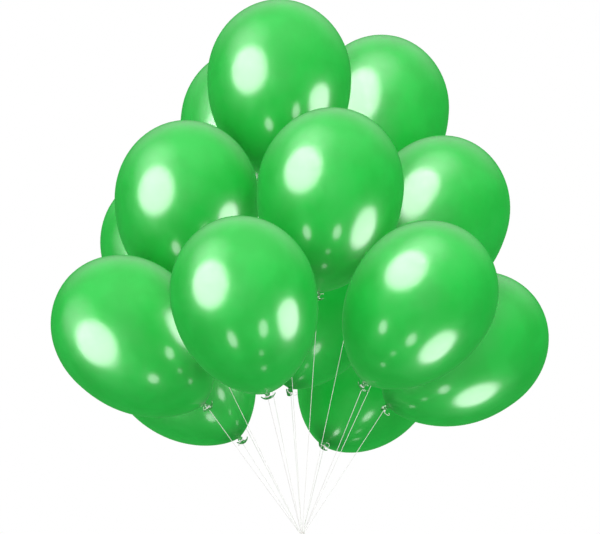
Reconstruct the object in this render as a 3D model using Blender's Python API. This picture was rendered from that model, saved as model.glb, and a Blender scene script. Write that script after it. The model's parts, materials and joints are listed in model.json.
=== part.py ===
"""A bunch of fourteen round latex balloons on strings, tied together at one gather knot.

Units are metres and +Z is up. The bunch is seen from -Y, with +X to the right. All strings run
straight at the origin, which is the middle of the gather knot that a hand or a hook holds.

Each balloon is made in its own frame: the origin is the tip of the body, where the latex is tied,
+Z runs up its axis to the crown and +Y points to the side that its string bends to. The flat end
of its tied neck spreads along X, so the string passes in front of it.
"""

import math

import bmesh
import bpy
from mathutils import Matrix, Vector

# Shape of every balloon body, in half widths of the balloon, measured from its widest level
CROWN_RISE = 1.10
BASE_DROP = 1.50
# The base narrows as (1 - depth ** BASE_CURVE) ** BASE_FULLNESS, with depth from 0 to 1
BASE_CURVE = 2.2
BASE_FULLNESS = 0.68

# Sizes (m)
FILM = 0.0002
NECK_RADIUS = 0.0038
NECK_LENGTH = 0.0015
KNOT_RADIUS = 0.0062
WAIST_RADIUS = 0.0029
LIP_HALF_WIDTH = 0.0150
LIP_HALF_THICKNESS = 0.0016
STRING_DIAMETER = 0.0013
GATHER_RADIUS = 0.0080
STRING_END_LENGTH = 0.040
GAP = 0.0003

# Places on a tied neck, down from the tip of the body
KNOT_TOP = -NECK_LENGTH - GAP
WAIST_HEIGHT = -0.0088
LIP_HEIGHT = -0.0165
LIP_LEAN = 0.0020
HITCH_HALF_HEIGHT = 0.0013
HITCH_TUBE = 0.00065

# How finely round pieces are cut
BODY_SEGMENTS = 16
CROWN_RINGS = 4
BASE_RINGS = 6
SMALL_SEGMENTS = 10
STRING_POINTS = 7
STRING_SAG = 0.003

# One balloon a line: middle of its widest level (x, y, z), tilt to the right and to the front in
# degrees, and width.
BALLOONS = [
    ((-0.045, -0.080, 0.910), 0, 22, 0.284),
    ((0.160, 0.150, 0.860), 5, -25, 0.280),
    ((-0.110, 0.235, 0.840), 7, -30, 0.280),
    ((-0.225, -0.150, 0.670), 0, 19, 0.282),
    ((0.055, -0.255, 0.690), 7, 17, 0.282),
    ((0.270, -0.065, 0.645), 19, -6, 0.280),
    ((-0.280, 0.290, 0.580), -20, -9, 0.276),
    ((-0.335, -0.275, 0.415), -46, 17, 0.278),
    ((-0.110, -0.445, 0.485), -13, 24, 0.274),
    ((0.230, -0.360, 0.480), 34, 20, 0.274),
    ((0.345, 0.080, 0.380), 55, -17, 0.288),
    ((0.035, 0.165, 0.480), 17, -14, 0.272),
    ((0.145, 0.380, 0.320), 33, -38, 0.282),
    ((-0.255, 0.075, 0.350), -40, -20, 0.278),
]


def clear_scene():
    for old in list(bpy.data.objects):
        bpy.data.objects.remove(old, do_unlink=True)


def plain_material(name, colour, roughness, metallic):
    material = bpy.data.materials.new(name)
    material.use_nodes = True
    shader = material.node_tree.nodes["Principled BSDF"]
    shader.inputs["Base Color"].default_value = (*colour, 1.0)
    shader.inputs["Roughness"].default_value = roughness
    shader.inputs["Metallic"].default_value = metallic
    material.diffuse_color = (*colour, 1.0)
    return material


def add_object(name, data, material, matrix):
    data.materials.append(material)
    piece = bpy.data.objects.new(name, data)
    bpy.context.collection.objects.link(piece)
    piece.matrix_world = matrix
    return piece


def turned(name, profile, segments, material, matrix, closed=False):
    """Spins a profile of (radius, height) points about +Z. A closed profile makes a ring."""
    cut = bmesh.new()
    points = [cut.verts.new((radius, 0.0, height)) for radius, height in profile]
    edges = [cut.edges.new(pair) for pair in zip(points, points[1:])]
    if closed:
        edges.append(cut.edges.new((points[-1], points[0])))
    bmesh.ops.spin(
        cut,
        geom=points + edges,
        cent=(0.0, 0.0, 0.0),
        axis=(0.0, 0.0, 1.0),
        angle=2.0 * math.pi,
        steps=segments,
        use_merge=True,
    )
    bmesh.ops.remove_doubles(cut, verts=cut.verts, dist=1e-6)
    bmesh.ops.recalc_face_normals(cut, faces=cut.faces)
    mesh = bpy.data.meshes.new(name)
    cut.to_mesh(mesh)
    cut.free()
    mesh.shade_smooth()
    mesh.set_sharp_from_angle(angle=math.radians(50.0))
    return add_object(name, mesh, material, matrix)


def tapered_tube(name, points, radii, material, matrix):
    """A closed tube along the points, as thick at each one as its radius says."""
    curve = bpy.data.curves.new(name, "CURVE")
    curve.dimensions = "3D"
    curve.bevel_depth = 1.0
    curve.bevel_resolution = 2
    curve.use_fill_caps = True
    spline = curve.splines.new("POLY")
    spline.points.add(len(points) - 1)
    for knot, place, radius in zip(spline.points, points, radii):
        knot.co = (*place, 1.0)
        knot.radius = radius
    return add_object(name, curve, material, matrix)


def body_profile(half_width):
    """(radius, height above the tip) from the crown down to the neck."""
    tip_drop = BASE_DROP * half_width
    profile = []
    for ring in range(CROWN_RINGS + 1):
        turn = 0.5 * math.pi * ring / CROWN_RINGS
        rise = CROWN_RISE * half_width * math.cos(turn)
        profile.append((half_width * math.sin(turn), tip_drop + rise))
    for ring in range(1, BASE_RINGS):
        depth = math.sin(0.5 * math.pi * ring / BASE_RINGS)
        narrowed = (1.0 - depth**BASE_CURVE) ** BASE_FULLNESS
        profile.append((half_width * narrowed, tip_drop * (1.0 - depth)))
    profile.append((NECK_RADIUS, 0.0))
    profile.append((NECK_RADIUS, -NECK_LENGTH))
    return profile


def shell_profile(outer):
    """The outer profile, then the inner one back up to the crown, one film thickness inside it."""
    inner = [(radius - FILM, height) for radius, height in outer[1:]]
    inner.insert(0, (0.0, outer[0][1] - FILM))
    return outer + inner[::-1]


def envelope(name, width, material, matrix):
    profile = shell_profile(body_profile(0.5 * width))
    return turned(name, profile, BODY_SEGMENTS, material, matrix)


def lofted(name, sections, material, matrix):
    """A closed solid through flat oval sections: (x of the middle, height, half width, half depth)."""
    loft = bmesh.new()
    rings = []
    for middle, height, half_width, half_depth in sections:
        ring = []
        for step in range(SMALL_SEGMENTS):
            turn = 2.0 * math.pi * step / SMALL_SEGMENTS
            across = middle + half_width * math.cos(turn)
            ring.append(loft.verts.new((across, half_depth * math.sin(turn), height)))
        rings.append(ring)
    for upper, lower in zip(rings, rings[1:]):
        for step in range(SMALL_SEGMENTS):
            following = (step + 1) % SMALL_SEGMENTS
            loft.faces.new((upper[step], upper[following], lower[following], lower[step]))
    loft.faces.new(rings[0])
    loft.faces.new(rings[-1])
    bmesh.ops.recalc_face_normals(loft, faces=loft.faces)
    mesh = bpy.data.meshes.new(name)
    loft.to_mesh(mesh)
    loft.free()
    mesh.shade_smooth()
    mesh.set_sharp_from_angle(angle=math.radians(60.0))
    return add_object(name, mesh, material, matrix)


def tied_neck(name, material, matrix):
    """Neck latex below the tip: the knot, its waist, and the slack end that fans out flat to the lip."""
    bead = LIP_HALF_THICKNESS
    sections = [
        (0.0, KNOT_TOP, NECK_RADIUS, NECK_RADIUS),
        (0.0, KNOT_TOP - 0.0008, 0.9 * KNOT_RADIUS, 0.9 * KNOT_RADIUS),
        (0.0, KNOT_TOP - 0.0025, KNOT_RADIUS, KNOT_RADIUS),
        (0.0, KNOT_TOP - 0.0043, 0.8 * KNOT_RADIUS, 0.8 * KNOT_RADIUS),
        (0.0, WAIST_HEIGHT + 0.0016, WAIST_RADIUS, WAIST_RADIUS),
        (0.0, WAIST_HEIGHT - 0.0018, WAIST_RADIUS, WAIST_RADIUS),
        (0.2 * LIP_LEAN, WAIST_HEIGHT - 0.0030, 0.40 * LIP_HALF_WIDTH, 0.85 * WAIST_RADIUS),
        (0.6 * LIP_LEAN, LIP_HEIGHT + 0.0030, 0.80 * LIP_HALF_WIDTH, 0.8 * bead),
        (0.9 * LIP_LEAN, LIP_HEIGHT + 0.0012, LIP_HALF_WIDTH, bead),
        (LIP_LEAN, LIP_HEIGHT, 0.94 * LIP_HALF_WIDTH, 0.7 * bead),
    ]
    return lofted(name, sections, material, matrix)


def hitch(name, material, matrix):
    """The turns of string round the waist of the tied neck, as one ring."""
    inner = WAIST_RADIUS + GAP
    outer = inner + 2.0 * HITCH_TUBE
    half = HITCH_HALF_HEIGHT
    middle = 0.5 * (inner + outer)
    profile = [
        (inner, WAIST_HEIGHT - 0.5 * half),
        (middle, WAIST_HEIGHT - half),
        (outer, WAIST_HEIGHT - 0.5 * half),
        (outer, WAIST_HEIGHT + 0.5 * half),
        (middle, WAIST_HEIGHT + half),
        (inner, WAIST_HEIGHT + 0.5 * half),
    ]
    return turned(name, profile, SMALL_SEGMENTS, material, matrix, closed=True)


def balloon_frame(middle, right_tilt, front_tilt, width):
    """The balloon's frame: its tip, its axis, and the side that its string bends to."""
    right = math.tan(math.radians(right_tilt))
    front = math.tan(math.radians(front_tilt))
    axis = Vector((right, -front, 1.0)).normalized()
    tip = Vector(middle) - axis * (0.5 * width * BASE_DROP)
    across = axis.cross(tip).normalized()
    bend = axis.cross(across)
    turn = Matrix((across, bend, axis)).transposed().to_4x4()
    return Matrix.Translation(tip) @ turn


def string_start(frame):
    """Just under the hitch, on the side that the string bends to."""
    beside = WAIST_RADIUS + GAP + HITCH_TUBE
    below = WAIST_HEIGHT - HITCH_HALF_HEIGHT - GAP
    return frame @ Vector((0.0, beside, below - 0.5 * STRING_DIAMETER))


def taut_string(name, start, material):
    """A string from the hitch to the face of the gather knot, with the little sag of its weight."""
    end = start.normalized() * (GATHER_RADIUS + GAP)
    run = end - start
    across = Vector((run.x, run.y, 0.0)).length
    sag = STRING_SAG * across
    points = []
    for step in range(STRING_POINTS):
        along = step / (STRING_POINTS - 1)
        drop = Vector((0.0, 0.0, -4.0 * sag * along * (1.0 - along)))
        points.append(start + run * along + drop)
    radii = [0.5 * STRING_DIAMETER] * STRING_POINTS
    return tapered_tube(name, points, radii, material, Matrix())


def gather_knot(material):
    """The ball of string where all fourteen strings are knotted together."""
    profile = []
    rings = 8
    for ring in range(rings + 1):
        turn = math.pi * ring / rings
        profile.append((GATHER_RADIUS * math.sin(turn), GATHER_RADIUS * math.cos(turn)))
    profile[0] = (0.0, GATHER_RADIUS)
    profile[-1] = (0.0, -GATHER_RADIUS)
    return turned("gather_knot", profile, SMALL_SEGMENTS, material, Matrix())


def string_ends(material):
    """The cut ends of the strings, hanging from the gather knot as one loose tassel."""
    top = -GATHER_RADIUS - GAP
    bottom = top - STRING_END_LENGTH
    profile = [
        (0.0, top),
        (0.0030, top),
        (0.0036, top - 0.006),
        (0.0060, 0.5 * (top + bottom)),
        (0.0085, bottom + 0.004),
        (0.0080, bottom),
        (0.0, bottom),
    ]
    return turned("string_ends", profile, SMALL_SEGMENTS, material, Matrix())


def main():
    clear_scene()
    latex = plain_material("green_latex", (0.033, 0.571, 0.065), 0.22, 0.15)
    cord = plain_material("white_string", (0.82, 0.81, 0.78), 0.85, 0.0)
    for number, (middle, right_tilt, front_tilt, width) in enumerate(BALLOONS, start=1):
        name = f"balloon_{number:02d}"
        frame = balloon_frame(middle, right_tilt, front_tilt, width)
        envelope(f"{name}_envelope", width, latex, frame)
        tied_neck(f"{name}_tied_neck", latex, frame)
        hitch(f"{name}_hitch", cord, frame)
        taut_string(f"{name}_string", string_start(frame), cord)
    gather_knot(cord)
    string_ends(cord)


main()
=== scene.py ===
"""The looks of a bunch of fourteen pearl latex balloons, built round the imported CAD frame.

Units are metres, +Z is up and the bunch is seen from -Y. Every balloon is made in its own frame,
which is worked out from its CAD envelope and its tilt joint: the origin is the tip of the body, +Z
runs up its axis to the crown and +Y points to the side that its string bends to.
"""

import json
import math
import random

import bmesh
import bpy
from mathutils import Matrix, Vector, noise

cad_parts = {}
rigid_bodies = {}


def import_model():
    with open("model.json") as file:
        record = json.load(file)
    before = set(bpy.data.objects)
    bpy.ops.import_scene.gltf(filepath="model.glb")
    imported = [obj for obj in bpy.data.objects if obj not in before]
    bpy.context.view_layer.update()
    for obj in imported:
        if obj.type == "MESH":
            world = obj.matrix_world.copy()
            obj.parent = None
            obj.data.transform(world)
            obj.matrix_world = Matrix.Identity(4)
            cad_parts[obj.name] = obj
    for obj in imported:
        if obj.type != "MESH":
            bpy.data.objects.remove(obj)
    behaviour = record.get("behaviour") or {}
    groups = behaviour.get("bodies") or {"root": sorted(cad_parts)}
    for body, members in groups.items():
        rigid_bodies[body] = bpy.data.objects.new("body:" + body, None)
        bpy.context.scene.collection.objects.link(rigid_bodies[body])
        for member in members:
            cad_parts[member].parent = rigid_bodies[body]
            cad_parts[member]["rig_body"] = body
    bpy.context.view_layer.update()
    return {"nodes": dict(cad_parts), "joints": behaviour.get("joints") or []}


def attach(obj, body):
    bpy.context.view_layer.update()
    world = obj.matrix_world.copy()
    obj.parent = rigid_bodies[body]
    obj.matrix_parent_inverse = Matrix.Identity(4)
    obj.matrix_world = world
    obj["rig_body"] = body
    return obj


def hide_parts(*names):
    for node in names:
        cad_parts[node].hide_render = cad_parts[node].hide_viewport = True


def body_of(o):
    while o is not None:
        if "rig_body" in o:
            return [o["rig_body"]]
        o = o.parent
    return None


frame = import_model()
BALLOONS = range(1, 15)
TAU = 2.0 * math.pi

# Camera, level and far away, looking along +Y
CAMERA_PLACE = (-0.004, -6.81, 0.537)
LENS_MM = 204.7
SENSOR_MM = 36.0

# Shape of every balloon body in half widths, as in the CAD
CROWN_RISE = 1.10
BASE_DROP = 1.50
BASE_CURVE = 2.2
BASE_FULLNESS = 0.68
FILM = 0.0002
NECK_RADIUS = 0.0038
NECK_LENGTH = 0.0015
GAP = 0.0003

# Tied neck, down from the tip of the body
KNOT_HEIGHT = -0.0044
KNOT_REACH = 0.0062
KNOT_STRAND_RADIUS = 0.0022
OVERHAND_DEPTH = 0.0021  # how far the strands of a neck's or the gather's knot pass each other
WAIST_RADIUS = 0.0029
WAIST_HEIGHT = -0.0088
LIP_HEIGHT = -0.0165
LIP_HALF_WIDTH = 0.0150
LIP_LEAN = 0.0020
LIP_RISE = 0.0078
BEAD_RADIUS = 0.0011

# Strings
STRING_RADIUS = 0.00065
STRING_PITCH = 0.0052
STRING_STEP = 0.0009
STRING_SAG = 0.003
STRING_BOWS = {3: Vector((-0.0012, -0.0008, 0.0))}  # away from balloon 12, which can lean that way
STRING_DIAMETER = 2.0 * STRING_RADIUS
HITCH_LEAD = 0.0012  # how far the string of the hitch runs on, inside the line
GATHER_RADIUS = 0.0080
BUNDLE_RADIUS = 0.0023  # of all the strings together, in the gather knot
BUNDLE_END_RADIUS = 0.0026  # of the same bundle, where it leaves the knot
GOLDEN_TURN = math.radians(137.5)  # from each strand to the next in the bundle
STRING_END_LENGTH = 0.040
STRING_END_SPREAD = 0.0066
STRING_END_CURL = 0.0011

# How finely the bodies and the necks are cut
BODY_SEGMENTS = 120
CROWN_RINGS = 22
BASE_RINGS = 24
FILLET_RINGS = 10
NECK_VOXEL = 0.0005
NECK_SMOOTHINGS = 3

# Small variations of the skin
PLEAT_DEPTH = 0.00040
PLEATED_RADIUS = 0.040
UNEVENNESS = 0.0035


# ---------------------------------------------------------------- mesh helpers


def add_piece(name, verts, faces, material, matrix):
    """One closed mesh piece, with its faces turned outwards. The matrix takes it to the row frame."""
    mesh = bpy.data.meshes.new(name)
    mesh.from_pydata(verts, [], faces)
    cut = bmesh.new()
    cut.from_mesh(mesh)
    bmesh.ops.recalc_face_normals(cut, faces=cut.faces)
    bmesh.ops.transform(cut, matrix=matrix, verts=cut.verts)
    cut.to_mesh(mesh)
    cut.free()
    mesh.shade_smooth()
    mesh.materials.append(material)
    piece = bpy.data.objects.new(name, mesh)
    bpy.context.scene.collection.objects.link(piece)
    return piece


def mark_stretch(piece, place, low, high, least):
    """Stores how far the latex is stretched: least at the height low, and 1 at the height high."""
    heights = place.inverted()
    values = []
    for vertex in piece.data.vertices:
        share = ((heights @ vertex.co).z - low) / (high - low)
        share = min(1.0, max(0.0, share))
        values.append(least + (1.0 - least) * share * share * (3.0 - 2.0 * share))
    attribute = piece.data.attributes.new("stretch", "FLOAT", "POINT")
    attribute.data.foreach_set("value", values)


def stand_for(piece, node):
    """The piece rides where the CAD node rides, and is shown instead of it."""
    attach(piece, body_of(frame["nodes"][node])[0])
    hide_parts(node)


def ring_faces(first, second, count):
    """Quads between two rings of vertices that begin at those places in the list."""
    faces = []
    for step in range(count):
        following = (step + 1) % count
        faces.append((first + step, first + following, second + following, second + step))
    return faces


def joined(shapes):
    """One list of vertices and one of faces, from several of each."""
    verts = []
    faces = []
    for more_verts, more_faces in shapes:
        shift = len(verts)
        verts.extend(more_verts)
        faces.extend(tuple(index + shift for index in face) for face in more_faces)
    return verts, faces


def along_line(points, closed=False):
    """(point, side, other side, distance so far) at each point, with sides that turn with the line."""
    places = []
    side = None
    travelled = 0.0
    count = len(points)
    for index, point in enumerate(points):
        before = points[index - 1] if index or closed else point
        after = points[(index + 1) % count] if index + 1 < count or closed else point
        forward = (after - before).normalized()
        if side is None:
            side = forward.orthogonal()
        else:
            travelled += (point - points[index - 1]).length
        side = (side - forward * side.dot(forward)).normalized()
        places.append((point, side, forward.cross(side), travelled))
    return places


def smooth_line(controls, step):
    """Points about a step apart on a smooth curve through the control points."""
    ends = [2.0 * controls[0] - controls[1], *controls, 2.0 * controls[-1] - controls[-2]]
    points = []
    for a, b, c, d in zip(ends, ends[1:], ends[2:], ends[3:]):
        pieces = max(1, round((c - b).length / step))
        for piece in range(pieces):
            t = piece / pieces
            bend = (2.0 * a - 5.0 * b + 4.0 * c - d) * t**2 + (3.0 * b - a - 3.0 * c + d) * t**3
            points.append(b + 0.5 * ((c - a) * t + bend))
    points.append(controls[-1].copy())
    return points


def tube(points, radius, sides=10, closed=False, ply=0.0):
    """A tube along the points. With ply above 0 it is two strands twisted together."""
    verts = []
    faces = []
    for point, side, other, travelled in along_line(points, closed):
        twist = TAU * travelled / STRING_PITCH if ply else 0.0
        for step in range(sides):
            turn = TAU * step / sides
            reach = radius * (1.0 - ply * math.sin(turn) ** 2)
            facing = side * math.cos(turn + twist) + other * math.sin(turn + twist)
            verts.append(point + reach * facing)
    rings = len(points)
    for ring in range(rings - 1):
        faces.extend(ring_faces(ring * sides, (ring + 1) * sides, sides))
    if closed:
        faces.extend(ring_faces((rings - 1) * sides, 0, sides))
    else:
        faces.append(tuple(range(sides)))
        faces.append(tuple(range((rings - 1) * sides, rings * sides)))
    return verts, faces


def twine(points):
    """The string itself, two strands twisted together, along the points."""
    return tube(points, STRING_RADIUS, sides=12, ply=0.42)


def overhand(reach, depth):
    """The line of an overhand knot, with both its ends on the -X side: the first runs in from
    below and the last runs out upwards. It reaches that far from its middle."""
    points = []
    steps = 48
    unit = reach / 2.74
    for step in range(steps + 1):
        turn = -0.92 * math.pi + 1.84 * math.pi * step / steps
        across = math.cos(turn) - 2.0 * math.cos(2.0 * turn) + 0.47
        up = math.sin(turn) + 2.0 * math.sin(2.0 * turn)
        points.append(Vector((unit * across, -depth * math.sin(3.0 * turn), unit * up)))
    return points


# ---------------------------------------------------------------- places


def joint_place(name):
    return next(Vector(joint["pos_m"]) for joint in frame["joints"] if joint["name"] == name)


def balloon_place(number):
    """The balloon's own frame as a matrix, and its half width."""
    string_start = joint_place(f"tilt_{number:02d}")
    mesh = frame["nodes"][f"balloon_{number:02d}_envelope"].data
    points = [vertex.co.copy().freeze() for vertex in mesh.vertices]
    crown = max(points, key=lambda point: (point - string_start).length)
    furthest = max((point - crown).length for point in points)
    rim = {point for point in points if (point - crown).length > furthest - 0.5 * NECK_LENGTH}
    neck_end = sum(rim, Vector()) / len(rim)
    axis = (crown - neck_end).normalized()
    tip = neck_end + axis * NECK_LENGTH
    bend = string_start - tip
    bend = (bend - axis * bend.dot(axis)).normalized()
    across = bend.cross(axis)
    half_width = max((point - tip).cross(axis).length for point in points)
    turn = Matrix((across, bend, axis)).transposed().to_4x4()
    return Matrix.Translation(tip) @ turn, half_width


# ---------------------------------------------------------------- camera


def make_camera():
    data = bpy.data.cameras.new("camera")
    data.lens = LENS_MM
    data.sensor_width = SENSOR_MM
    camera = bpy.data.objects.new("camera", data)
    camera.location = CAMERA_PLACE
    camera.rotation_euler = (math.radians(90.0), 0.0, 0.0)
    bpy.context.scene.collection.objects.link(camera)
    bpy.context.scene.camera = camera


# ---------------------------------------------------------------- strings


def string_route(number):
    """From the hitch to the face of the gather knot, with the little sag of the string's weight."""
    start = joint_place(f"tilt_{number:02d}")
    end = start.normalized() * (GATHER_RADIUS + GAP)
    run = end - start
    drop = Vector((0.0, 0.0, -STRING_SAG * Vector((run.x, run.y, 0.0)).length))
    bow = drop + STRING_BOWS.get(number, Vector())
    steps = round(run.length / STRING_STEP)
    points = []
    for step in range(steps + 1):
        t = step / steps
        points.append(start + run * t + bow * (4.0 * t * (1.0 - t)))
    return points


def line_length(points):
    return sum((b - a).length for a, b in zip(points, points[1:]))


def make_string(number, material):
    points = string_route(number)
    verts, faces = twine(points)
    name = f"balloon_{number:02d}_line"
    piece = add_piece(name, verts, faces, material, Matrix())
    stand_for(piece, f"balloon_{number:02d}_string")
    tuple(points[-1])
    line_length(points)
    return piece


def bundle_offset(index, radius):
    """Where strand number index lies in the round bundle of strings, from its middle."""
    reach = radius * math.sqrt((index + 0.5) / len(BALLOONS))
    turn = GOLDEN_TURN * index
    return reach * math.cos(turn), reach * math.sin(turn)


def make_gather_knot(material):
    """All the strings as one bundle, tied in an overhand knot, with each string's way in at the top
    and its way out at the bottom."""
    middle = overhand(GATHER_RADIUS - BUNDLE_RADIUS - STRING_DIAMETER, OVERHAND_DEPTH)
    middle.reverse()
    places = along_line(middle)
    shapes = []
    for number in BALLOONS:
        right, forward = bundle_offset(number - 1, BUNDLE_RADIUS)
        start = joint_place(f"tilt_{number:02d}").normalized() * (GATHER_RADIUS + GAP)
        strand = [start, 0.80 * start + Vector((0.2 * right, 0.2 * forward, 0.0))]
        for point, side, other, travelled in places[2:-2:3]:
            strand.append(point + right * side + forward * other)
        strand.append(string_end_start(number))
        shapes.append(twine(smooth_line(strand, STRING_STEP)))
    verts, faces = joined(shapes)
    piece = add_piece("strings_knot", verts, faces, material, Matrix())
    stand_for(piece, "gather_knot")
    return piece


def string_end_start(number):
    right, forward = bundle_offset(number - 1, BUNDLE_END_RADIUS)
    return Vector((right, forward, -GATHER_RADIUS - GAP))


def make_string_end(number, material):
    """The cut end of one string, which hangs down out of the gather knot and curls a little."""
    chance = random.Random(100 + number)
    start = string_end_start(number)
    length = STRING_END_LENGTH * chance.uniform(0.82, 0.985)
    right, forward = bundle_offset(number - 1, STRING_END_SPREAD)
    turn = chance.uniform(0.0, TAU)
    controls = []
    for step in range(6):
        t = step / 5
        spread = t**1.3
        curl = STRING_END_CURL * math.sin(math.pi * t)
        across = start.x + (right - start.x) * spread + curl * math.cos(turn + 3.0 * t)
        deep = start.y + (forward - start.y) * spread + curl * math.sin(turn + 3.0 * t)
        controls.append(Vector((across, deep, start.z - length * t)))
    points = smooth_line(controls, STRING_STEP)
    verts, faces = twine(points)
    piece = add_piece(f"string_end_{number:02d}", verts, faces, material, Matrix())
    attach(piece, body_of(frame["nodes"]["string_ends"])[0])
    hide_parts("string_ends")
    line_length(points)
    return piece


def make_hitch(number, place, material):
    """Two turns of the string round the waist of the neck, its little knot and its curly tail."""
    radius = WAIST_RADIUS + GAP + STRING_RADIUS
    knot_middle = Vector((0.0, radius + 0.0014, WAIST_HEIGHT - 0.0010))
    hook = [
        Vector((0.0045, 0.0130, -0.0062)),
        Vector((0.0030, 0.0168, -0.0066)),
        Vector((-0.0018, 0.0176, -0.0080)),
        Vector((-0.0046, 0.0138, -0.0098)),
        Vector((-0.0028, 0.0092, -0.0112)),
    ]
    knot = [knot_middle + point for point in overhand(0.0021, 0.0009)]
    turns = []
    steps = 34
    for step in range(steps + 1):
        turn = math.radians(100.0) + 2.0 * TAU * step / steps
        height = WAIST_HEIGHT + 0.0009 - 0.0024 * step / steps
        turns.append(Vector((radius * math.cos(turn), radius * math.sin(turn), height)))
    start = Vector((0.0, radius, WAIST_HEIGHT - 0.0013 - GAP - STRING_RADIUS))
    towards_gather = (place.inverted() @ Vector() - start).normalized()
    controls = hook + knot[::3] + turns + [start, start + HITCH_LEAD * towards_gather]
    verts, faces = twine(smooth_line(controls, 0.6 * STRING_STEP))
    name = f"balloon_{number:02d}_tie"
    piece = add_piece(name, verts, faces, material, place)
    stand_for(piece, f"balloon_{number:02d}_hitch")
    return piece


# ---------------------------------------------------------------- balloons


def body_outline(half_width):
    """(radius, height above the tip) of the outside, from just under the crown to the neck end."""
    drop = BASE_DROP * half_width
    outline = []
    for ring in range(1, CROWN_RINGS + 1):
        turn = 0.5 * math.pi * ring / CROWN_RINGS
        rise = CROWN_RISE * half_width * math.cos(turn)
        outline.append((half_width * math.sin(turn), drop + rise))
    last_turn = math.asin(0.985)
    for ring in range(1, BASE_RINGS + 1):
        depth = math.sin(last_turn * ring / BASE_RINGS)
        narrowed = (1.0 - depth**BASE_CURVE) ** BASE_FULLNESS
        outline.append((half_width * narrowed, drop * (1.0 - depth)))
    a = outline[-1]
    b = (1.35 * NECK_RADIUS, 0.0009)
    c = (NECK_RADIUS, -NECK_LENGTH)
    for ring in range(1, FILLET_RINGS + 1):
        t = ring / FILLET_RINGS
        weights = ((1.0 - t) ** 2, 2.0 * t * (1.0 - t), t**2)
        radius = weights[0] * a[0] + weights[1] * b[0] + weights[2] * c[0]
        height = weights[0] * a[1] + weights[1] * b[1] + weights[2] * c[1]
        outline.append((radius, height))
    return outline


def pleat_maker(number):
    """How far the skin is drawn in at an angle round the neck and at a distance from the axis."""
    chance = random.Random(number)
    waves = []
    for count, share in ((7, 0.30), (11, 0.35), (13, 0.25), (19, 0.20)):
        waves.append((count, share, chance.uniform(0.0, TAU)))

    def pleat(turn, radius):
        if radius > PLEATED_RADIUS:
            return 0.0
        fade = 1.0 - radius / PLEATED_RADIUS
        grow = min(1.0, 0.35 + (radius - NECK_RADIUS) / 0.007)
        wave = sum(share * math.cos(count * turn + phase) for count, share, phase in waves)
        return PLEAT_DEPTH * grow * fade**2 * (abs(wave) - 0.4)

    return pleat


def outline_normals(outline):
    normals = []
    last = len(outline) - 1
    for index in range(len(outline)):
        before = outline[max(0, index - 1)]
        after = outline[min(last, index + 1)]
        along = Vector((after[0] - before[0], after[1] - before[1])).normalized()
        normals.append((-along.y, along.x))
    return normals


def make_envelope(number, place, half_width, material):
    """The blown-up body: its outer face and, one film inside it, its inner face."""
    pleat = pleat_maker(number)
    seed = Vector((7.3 * number, 2.1 * number, 0.0))
    outline = body_outline(half_width)
    normals = outline_normals(outline)
    inner_rings = list(range(len(outline) - 1, CROWN_RINGS + BASE_RINGS - 4, -1))
    inner_rings += list(range(CROWN_RINGS + BASE_RINGS - 6, 0, -4))
    rows = [(index, 0.0) for index in range(len(outline))]
    rows += [(index, FILM) for index in inner_rings]
    crown_height = (BASE_DROP + CROWN_RISE) * half_width
    verts = [Vector((0.0, 0.0, crown_height))]
    for index, depth in rows:
        radius, height = outline[index]
        out, up = normals[index]
        for step in range(BODY_SEGMENTS):
            turn = TAU * step / BODY_SEGMENTS
            facing = Vector((math.cos(turn), math.sin(turn), 0.0))
            where = facing * radius + Vector((0.0, 0.0, height))
            uneven = UNEVENNESS * noise.noise(where * 9.0 + seed) * radius
            push = uneven - pleat(turn, radius) - depth
            verts.append(where + (facing * out + Vector((0.0, 0.0, up))) * push)
    verts.append(Vector((0.0, 0.0, crown_height - FILM)))
    faces = []
    for step in range(BODY_SEGMENTS):
        faces.append((0, 1 + step, 1 + (step + 1) % BODY_SEGMENTS))
    for row in range(len(rows) - 1):
        first = 1 + row * BODY_SEGMENTS
        faces.extend(ring_faces(first, first + BODY_SEGMENTS, BODY_SEGMENTS))
    last_ring = 1 + (len(rows) - 1) * BODY_SEGMENTS
    for step in range(BODY_SEGMENTS):
        faces.append((last_ring + step, len(verts) - 1, last_ring + (step + 1) % BODY_SEGMENTS))
    name = f"balloon_{number:02d}_skin"
    piece = add_piece(name, verts, faces, material, place)
    mark_stretch(piece, place, -0.002, 0.026, 0.30)
    stand_for(piece, f"balloon_{number:02d}_envelope")
    return piece


def mouth_maker(number):
    """The flattened funnel of slack latex: turn goes once round it, and down goes from 0 at the
    waist to 1 at the lip."""
    chance = random.Random(50 + number)
    phase = chance.uniform(0.0, TAU)
    waviness = chance.uniform(0.0006, 0.0009)
    skew = chance.uniform(-0.0012, 0.0012)

    def mouth(turn, down):
        share = math.cos(turn)
        widest = LIP_HALF_WIDTH - BEAD_RADIUS
        half_width = WAIST_RADIUS + (widest - WAIST_RADIUS) * down
        half_depth = WAIST_RADIUS + (0.0009 - WAIST_RADIUS) * min(1.0, 1.6 * down)
        wave = waviness * down**2 * math.sin(5.2 * share + phase)
        top = WAIST_HEIGHT - 0.0012
        bottom = LIP_HEIGHT + BEAD_RADIUS + LIP_RISE * share**2 + skew * share
        across = half_width * share + LIP_LEAN * down
        height = top + (bottom - top) * down - 0.0016 * math.sin(math.pi * down)
        return Vector((across, half_depth * math.sin(turn) + wave, height))

    return mouth


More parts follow.
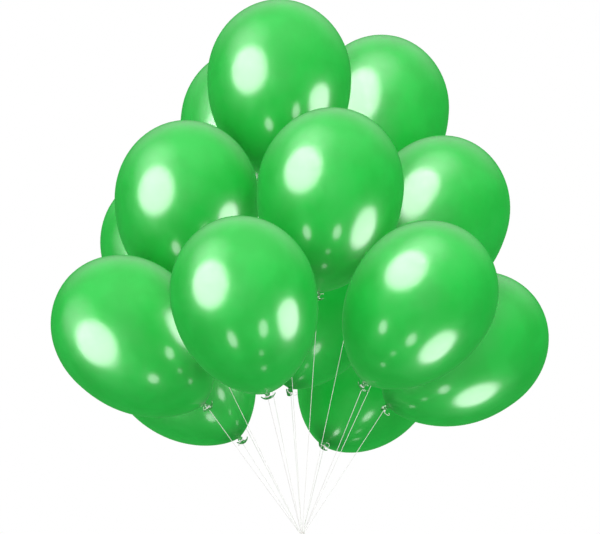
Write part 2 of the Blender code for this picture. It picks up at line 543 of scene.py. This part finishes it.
def neck_shapes(number):
    """Knot, waist, funnel and rolled bead, each as its own closed shape."""
    mouth = mouth_maker(number)
    sides = 48
    rows = 12
    verts = []
    faces = []
    for row in range(rows + 1):
        for step in range(sides):
            verts.append(mouth(TAU * step / sides, row / rows))
        if row:
            faces.extend(ring_faces((row - 1) * sides, row * sides, sides))
    faces.append(tuple(range(sides)))
    faces.append(tuple(range(rows * sides, (rows + 1) * sides)))
    bead = tube([mouth(TAU * step / 72, 1.0) for step in range(72)], BEAD_RADIUS, closed=True)
    chance = random.Random(80 + number)
    roll = Matrix.Rotation(chance.uniform(0.0, TAU), 3, "Z")
    strand = KNOT_STRAND_RADIUS
    knot = []
    for point in overhand(KNOT_REACH - strand, OVERHAND_DEPTH):
        flattened = Vector((point.x, point.y, 0.62 * point.z))
        knot.append(roll @ flattened + Vector((0.0, 0.0, KNOT_HEIGHT)))
    core = []
    for step in range(9):
        core.append(Vector((0.0, 0.0, -NECK_LENGTH - GAP - step * 0.0011)))
    return [(verts, faces), bead, tube(knot, strand), tube(core, WAIST_RADIUS, sides=16)]


def remeshed(piece, voxel):
    """One skin round all the shapes of the piece."""
    modifier = piece.modifiers.new("skin", "REMESH")
    modifier.mode = "VOXEL"
    modifier.voxel_size = voxel
    evaluated = piece.evaluated_get(bpy.context.evaluated_depsgraph_get())
    mesh = bpy.data.meshes.new_from_object(evaluated)
    piece.modifiers.remove(modifier)
    old = piece.data
    piece.data = mesh
    bpy.data.meshes.remove(old)
    cut = bmesh.new()
    cut.from_mesh(mesh)
    axes = {"use_axis_x": True, "use_axis_y": True, "use_axis_z": True}
    for _ in range(NECK_SMOOTHINGS):
        bmesh.ops.smooth_vert(cut, verts=cut.verts, factor=0.5, **axes)
    cut.to_mesh(mesh)
    cut.free()
    mesh.shade_smooth()


def make_neck(number, place, material):
    """The neck tied in an overhand knot, its waist, and the slack end with its rolled lip."""
    verts, faces = joined(neck_shapes(number))
    name = f"balloon_{number:02d}_neck"
    piece = add_piece(name, verts, faces, material, place)
    remeshed(piece, NECK_VOXEL)
    mark_stretch(piece, place, -0.030, 0.030, 0.0)
    stand_for(piece, f"balloon_{number:02d}_tied_neck")
    return piece


# ---------------------------------------------------------------- materials


def ranged_output(tree, value, low, high, to_low, to_high):
    """A node's output, taken smoothly from low and high to the other two numbers."""
    node = tree.nodes.new("ShaderNodeMapRange")
    node.interpolation_type = "SMOOTHSTEP"
    node.inputs["From Min"].default_value = low
    node.inputs["From Max"].default_value = high
    node.inputs["To Min"].default_value = to_low
    node.inputs["To Max"].default_value = to_high
    tree.links.new(value, node.inputs["Value"])
    return node.outputs["Result"]


class Nodes:
    """A material's node tree, with short ways to add a node and to link it."""

    def __init__(self, name):
        self.material = bpy.data.materials.new(name)
        self.material.use_nodes = True
        self.tree = self.material.node_tree
        self.shader = self.tree.nodes["Principled BSDF"]

    def add(self, kind, **settings):
        node = self.tree.nodes.new(kind)
        for key, value in settings.items():
            setattr(node, key, value)
        return node

    def link(self, output, target):
        self.tree.links.new(output, target)

    def texture(self, vector, scale, detail=2.0, roughness=0.5):
        node = self.add("ShaderNodeTexNoise")
        node.inputs["Scale"].default_value = scale
        node.inputs["Detail"].default_value = detail
        node.inputs["Roughness"].default_value = roughness
        self.link(vector, node.inputs["Vector"])
        return node.outputs["Fac"]

    def ranged(self, value, low, high, to_low, to_high):
        return ranged_output(self.tree, value, low, high, to_low, to_high)

    def mixed(self, factor, first, second, blend="MIX"):
        """A colour between two others. Each is a colour or the output of a node."""
        node = self.add("ShaderNodeMix", data_type="RGBA", blend_type=blend)
        for socket, value in ((0, factor), (6, first), (7, second)):
            if isinstance(value, bpy.types.NodeSocket):
                self.link(value, node.inputs[socket])
            elif isinstance(value, tuple):
                node.inputs[socket].default_value = (*value, 1.0)
            else:
                node.inputs[socket].default_value = value
        return node.outputs[2]

    def bump(self, height, strength, distance, before=None):
        node = self.add("ShaderNodeBump")
        node.inputs["Strength"].default_value = strength
        node.inputs["Distance"].default_value = distance
        self.link(height, node.inputs["Height"])
        if before is not None:
            self.link(before, node.inputs["Normal"])
        return node.outputs["Normal"]


STRETCHED_GREEN = (0.008, 0.600, 0.056)
SHADED_GREEN = (0.005, 0.545, 0.045)
SLACK_GREEN = (0.006, 0.235, 0.022)
# painted glint colour: a lighter green for specks of mica flake that catch the light
FLAKE_GLINT_GREEN = (0.05, 0.72, 0.10)
# painted shade colour: the grey of the grooves between the fibres
GROOVE_SHADE_WHITE = (0.76, 0.75, 0.72)
FIBRE_WHITE = (0.93, 0.92, 0.90)
WORN_WHITE = (0.82, 0.81, 0.77)
FLOOR_DARK = (0.80, 0.80, 0.80)
FLOOR_LIGHT = (0.84, 0.84, 0.84)


def latex_material():
    """Pearl latex: a glossy clear skin over fine mica flakes, with painted glints: specks of lighter
    green where the flakes catch the light. It is darker where it isn't stretched.
    """
    nodes = Nodes("pearl_green_latex")
    place = nodes.add("ShaderNodeTexCoord").outputs["Object"]
    stretch = nodes.add("ShaderNodeAttribute", attribute_name="stretch").outputs["Fac"]
    cloudy = nodes.texture(place, 14.0, 3.0)
    colour = nodes.mixed(nodes.ranged(cloudy, 0.35, 0.65, 0.0, 1.0), SHADED_GREEN, STRETCHED_GREEN)
    flakes = nodes.texture(place, 2600.0, 1.0)
    sparkle = nodes.ranged(flakes, 0.60, 0.75, 0.0, 0.25)
    # painted glints: specks of lighter green mixed into the base colour wherever the fine flake noise
    # is high
    colour = nodes.mixed(sparkle, colour, FLAKE_GLINT_GREEN)
    colour = nodes.mixed(stretch, SLACK_GREEN, colour)
    nodes.link(colour, nodes.shader.inputs["Base Color"])
    rough = nodes.ranged(nodes.texture(place, 55.0, 2.0), 0.3, 0.7, 0.33, 0.38)
    nodes.link(rough, nodes.shader.inputs["Roughness"])
    flake_bump = nodes.bump(flakes, 0.10, 0.00003)
    ripple = nodes.bump(nodes.texture(place, 24.0, 1.0), 0.05, 0.002, flake_bump)
    nodes.link(ripple, nodes.shader.inputs["Normal"])
    settings = {
        "IOR": 1.6,
        "Specular IOR Level": 0.5,
        "Coat Weight": 1.0,
        "Coat Roughness": 0.13,
        "Coat IOR": 1.7,
    }
    for socket, value in settings.items():
        nodes.shader.inputs[socket].default_value = value
    return nodes.material


def string_material():
    """White twisted cotton: fine fibres along the strands, and a little grey painted into the grooves
    as shade.
    """
    nodes = Nodes("twisted_white_cotton")
    place = nodes.add("ShaderNodeTexCoord").outputs["Object"]
    fibres = nodes.texture(place, 3800.0, 3.0, 0.7)
    worn = nodes.texture(place, 60.0, 2.0)
    # painted shade: a fine fibre noise mixes a greyer white in, for shade in the grooves between fibres
    colour = nodes.mixed(nodes.ranged(fibres, 0.35, 0.65, 0.0, 1.0), GROOVE_SHADE_WHITE, FIBRE_WHITE)
    colour = nodes.mixed(nodes.ranged(worn, 0.45, 0.75, 0.0, 0.35), colour, WORN_WHITE)
    nodes.link(colour, nodes.shader.inputs["Base Color"])
    nodes.link(nodes.ranged(fibres, 0.3, 0.7, 0.80, 0.95), nodes.shader.inputs["Roughness"])
    nodes.link(nodes.bump(fibres, 0.3, 0.00005), nodes.shader.inputs["Normal"])
    nodes.shader.inputs["Sheen Weight"].default_value = 0.3
    nodes.shader.inputs["Sheen Roughness"].default_value = 0.5
    return nodes.material


def floor_material():
    nodes = Nodes("pale_floor")
    place = nodes.add("ShaderNodeTexCoord").outputs["Object"]
    grain = nodes.texture(place, 3.0, 4.0)
    colour = nodes.mixed(nodes.ranged(grain, 0.3, 0.7, 0.0, 1.0), FLOOR_DARK, FLOOR_LIGHT)
    nodes.link(colour, nodes.shader.inputs["Base Color"])
    nodes.shader.inputs["Roughness"].default_value = 0.9
    return nodes.material


# ---------------------------------------------------------------- stage and light

BUNCH_MIDDLE = Vector((0.0, 0.0, 0.53))
FLOOR_HEIGHT = -1.3
FLOOR_HALF_SIZE = 5.0
LIGHT_DISTANCE = 6.0
HARD_SHARE = 0.6  # of a softbox's half width, up to where its edge starts to fade

# What the gloss mirrors behind the bunch
MIRRORED_GREEN = (0.10, 1.0, 0.17, 1.0)

# The studio lights are rolled round the camera's axis by that many degrees, for those balloons
RIGS = {
    36: (7, 8, 14),
    0: (1, 3, 4, 9, 13),
    -18: (5, 12),
    -42: (2, 6, 10, 11),
}

# These hang in the shade of their neighbours, where the two big boxes don't show in their gloss
SHADED = (12, 13)


def make_floor():
    """A pale floor, as far below the gather knot as a hand holds it. It isn't linked into the scene,
    so no view shows it."""
    half = FLOOR_HALF_SIZE
    corners = [(-half, -half, 0.0), (half, -half, 0.0), (half, half, 0.0), (-half, half, 0.0)]
    mesh = bpy.data.meshes.new("floor")
    mesh.from_pydata(corners, [], [(0, 1, 2, 3)])
    mesh.materials.append(floor_material())
    floor = bpy.data.objects.new("floor", mesh)
    floor.location.z = FLOOR_HEIGHT
    floor.visible_diffuse = False
    floor.visible_glossy = False
    return floor


def direction(azimuth, elevation, roll):
    """From the bunch towards a light. Azimuth is 0 towards the camera and grows to the right, and
    roll turns the light round the camera's axis, anticlockwise as the camera sees it."""
    turn = math.radians(azimuth)
    rise = math.radians(elevation)
    across = math.sin(turn) * math.cos(rise)
    back = -math.cos(turn) * math.cos(rise)
    plain = Vector((across, back, math.sin(rise)))
    return Matrix.Rotation(-math.radians(roll), 3, "Y") @ plain


def soften_edges(data, hard):
    """The light is full to that share of its half width, and fades out from there to its edge."""
    data.use_nodes = True
    tree = data.node_tree
    spot = tree.nodes.new("ShaderNodeNewGeometry")
    distance = tree.nodes.new("ShaderNodeVectorMath")
    distance.operation = "DISTANCE"
    distance.inputs[1].default_value = (0.5, 0.5, 0.0)
    tree.links.new(spot.outputs["Parametric"], distance.inputs[0])
    fade = ranged_output(tree, distance.outputs["Value"], 0.5 * hard, 0.5, 1.0, 0.0)
    tree.links.new(fade, tree.nodes["Emission"].inputs["Strength"])


def softbox(
    name, azimuth, elevation, width, height, radiance, roll=0.0, receivers=None, hard=HARD_SHARE
):
    """A round studio light with soft edges that faces the bunch. With receivers, it lights only
    those."""
    data = bpy.data.lights.new(name, "AREA")
    data.shape = "RECTANGLE"
    data.size = width
    data.size_y = height
    data.energy = math.pi * width * height * radiance
    soften_edges(data, hard)
    light = bpy.data.objects.new(name, data)
    towards = direction(azimuth, elevation, roll)
    light.location = BUNCH_MIDDLE + towards * LIGHT_DISTANCE
    light.rotation_euler = towards.to_track_quat("Z", "Y").to_euler()
    light.visible_camera = False
    bpy.context.scene.collection.objects.link(light)
    light.light_linking.receiver_collection = receivers
    return light


def make_world():
    """White behind the bunch. As light on it, a soft dome that is bright above and dim below, and
    in its gloss a dark room with a pale ceiling and, behind the bunch, the green of balloons."""
    world = bpy.data.worlds.new("studio")
    world.use_nodes = True
    tree = world.node_tree
    background = tree.nodes["Background"]
    towards = tree.nodes.new("ShaderNodeSeparateXYZ")
    place = tree.nodes.new("ShaderNodeTexCoord")
    tree.links.new(place.outputs["Generated"], towards.inputs["Vector"])
    path = tree.nodes.new("ShaderNodeLightPath")

    def ranged(axis, low, high, to_low, to_high):
        return ranged_output(tree, towards.outputs[axis], low, high, to_low, to_high)

    def chosen(ray, otherwise, then):
        node = tree.nodes.new("ShaderNodeMix")
        tree.links.new(path.outputs[ray], node.inputs["Factor"])
        tree.links.new(otherwise, node.inputs["A"])
        if isinstance(then, float):
            node.inputs["B"].default_value = then
        else:
            tree.links.new(then, node.inputs["B"])
        return node.outputs["Result"]

    gloss = tree.nodes.new("ShaderNodeMath")
    gloss.operation = "ADD"
    tree.links.new(ranged("Y", 0.0, 0.9, 0.01, 0.42), gloss.inputs[0])
    tree.links.new(ranged("Z", 0.1, 1.0, 0.0, 0.32), gloss.inputs[1])
    dome = ranged("Z", -0.7, 1.0, 0.57, 1.08)
    lighting = chosen("Is Glossy Ray", dome, gloss.outputs["Value"])
    tree.links.new(chosen("Is Camera Ray", lighting, 1.0), background.inputs["Strength"])
    behind = tree.nodes.new("ShaderNodeMath")
    behind.operation = "MULTIPLY"
    tree.links.new(ranged("Y", -0.1, 0.4, 0.0, 1.0), behind.inputs[0])
    tree.links.new(ranged("Z", 0.1, 0.7, 1.0, 0.0), behind.inputs[1])
    mirrored = tree.nodes.new("ShaderNodeMath")
    mirrored.operation = "MULTIPLY"
    tree.links.new(behind.outputs["Value"], mirrored.inputs[0])
    tree.links.new(path.outputs["Is Glossy Ray"], mirrored.inputs[1])
    colour = tree.nodes.new("ShaderNodeMix")
    colour.data_type = "RGBA"
    tree.links.new(mirrored.outputs["Value"], colour.inputs["Factor"])
    colour.inputs[6].default_value = (1.0, 1.0, 1.0, 1.0)
    colour.inputs[7].default_value = MIRRORED_GREEN
    tree.links.new(colour.outputs[2], background.inputs["Color"])
    world.cycles.sampling_method = "NONE"
    bpy.context.scene.world = world
    bpy.context.scene.view_settings.view_transform = "Standard"


def make_lights(lit, strings, floor):
    """Fill lights, which show in no gloss, and for each rig the boxes that show only in the gloss.
    lit holds the pieces of each balloon by its number. Only the floor may block these lights, and it
    isn't in the scene, so nothing does and the bunch stays evenly lit."""
    white = bpy.data.collections.new("lit_by_string_fill")
    for piece in strings:
        white.objects.link(piece)
    lights = [
        softbox("top_fill", 0.0, 62.0, 9.0, 9.0, 0.85),
        softbox("front_fill", 0.0, 0.0, 7.0, 7.0, 1.55),
        softbox("string_fill", 0.0, 20.0, 9.0, 9.0, 1.6, receivers=white),
    ]
    for fill in lights:
        fill.visible_glossy = False
    for rig, (roll, numbers) in enumerate(RIGS.items()):
        receivers = bpy.data.collections.new(f"lit_by_rig_{rig}")
        unshaded = bpy.data.collections.new(f"lit_by_boxes_{rig}")
        for number in numbers:
            for piece in lit[number]:
                receivers.objects.link(piece)
                if number not in SHADED:
                    unshaded.objects.link(piece)
        boxes = [
            softbox(f"main_box_{rig}", -50.0, 6.0, 8.6, 8.1, 6.0, roll, unshaded),
            softbox(f"second_box_{rig}", 76.0, -23.0, 5.0, 4.4, 5.6, roll, unshaded),
            softbox(f"high_box_{rig}", -66.0, 40.0, 10.5, 9.0, 1.5, roll, unshaded, hard=0.0),
            softbox(f"low_lamp_a_{rig}", 35.0, -42.0, 1.5, 1.8, 4.2, roll, receivers),
            softbox(f"low_lamp_b_{rig}", -29.0, -56.0, 1.5, 1.8, 4.2, roll, receivers),
            softbox(f"low_lamp_c_{rig}", 102.0, -74.0, 0.8, 0.8, 2.0, roll, receivers),
            softbox(f"low_lamp_d_{rig}", 45.0, -65.0, 0.8, 0.8, 2.0, roll, receivers),
        ]
        for box in boxes:
            box.visible_diffuse = False
        lights += boxes
    blockers = bpy.data.collections.new("blocks_studio_lights")
    blockers.objects.link(floor)
    for light in lights:
        light.light_linking.blocker_collection = blockers


# ---------------------------------------------------------------- the bunch


def main():
    make_camera()
    cotton = string_material()
    strings = [make_string(number, cotton) for number in BALLOONS]
    strings += [make_string_end(number, cotton) for number in BALLOONS]
    strings.append(make_gather_knot(cotton))
    latex = latex_material()
    lit = {}
    for number in BALLOONS:
        place, half_width = balloon_place(number)
        skin = make_envelope(number, place, half_width, latex)
        neck = make_neck(number, place, latex)
        strings.append(make_hitch(number, place, cotton))
        lit[number] = (skin, neck)
        skin.visible_glossy = False
    floor = make_floor()
    make_world()
    make_lights(lit, strings, floor)


main()
